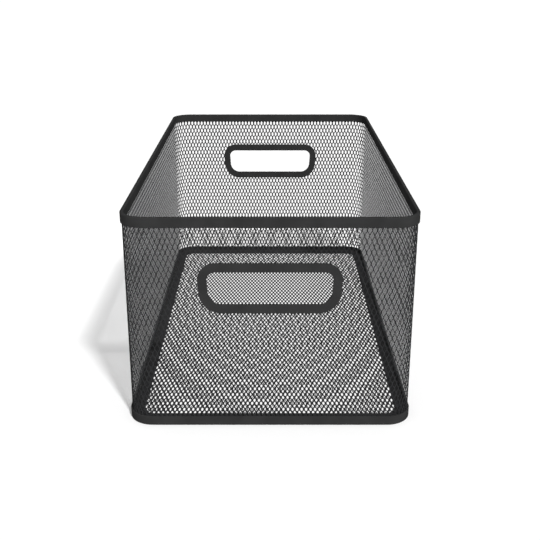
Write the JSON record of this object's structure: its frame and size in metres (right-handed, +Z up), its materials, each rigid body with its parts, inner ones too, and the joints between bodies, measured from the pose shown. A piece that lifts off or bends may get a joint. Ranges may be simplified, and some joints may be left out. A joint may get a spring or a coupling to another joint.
{
  "type": "locker basket",
  "caption": "Straight-sided black steel mesh basket with a folded rim, a base band and an oblong hand hole in each short end.",
  "frame": {"origin": "centre of the underside, on the surface that the basket stands on", "axes": "+Z up, +Y along the basket from the front hand hole to the back one, +X to the right seen from the front"},
  "size_m": [0.2166, 0.408, 0.1652],
  "materials": {
    "coated_sheet": "black powder coat, satin",
    "coated_mesh": "black powder coat on expanded steel mesh, satin"
  },
  "bodies": {
    "root": {"top_rim": "coated_sheet", "base_frame": "coated_sheet", "front_outer_ring": "coated_sheet", "front_inner_ring": "coated_sheet", "back_outer_ring": "coated_sheet", "back_inner_ring": "coated_sheet", "front_wall_mesh": "coated_mesh", "back_wall_mesh": "coated_mesh", "left_wall_mesh": "coated_mesh", "right_wall_mesh": "coated_mesh", "front_left_corner_mesh": "coated_mesh", "front_right_corner_mesh": "coated_mesh", "back_left_corner_mesh": "coated_mesh", "back_right_corner_mesh": "coated_mesh", "floor_mesh": "coated_mesh"}
  },
  "joints": []
}
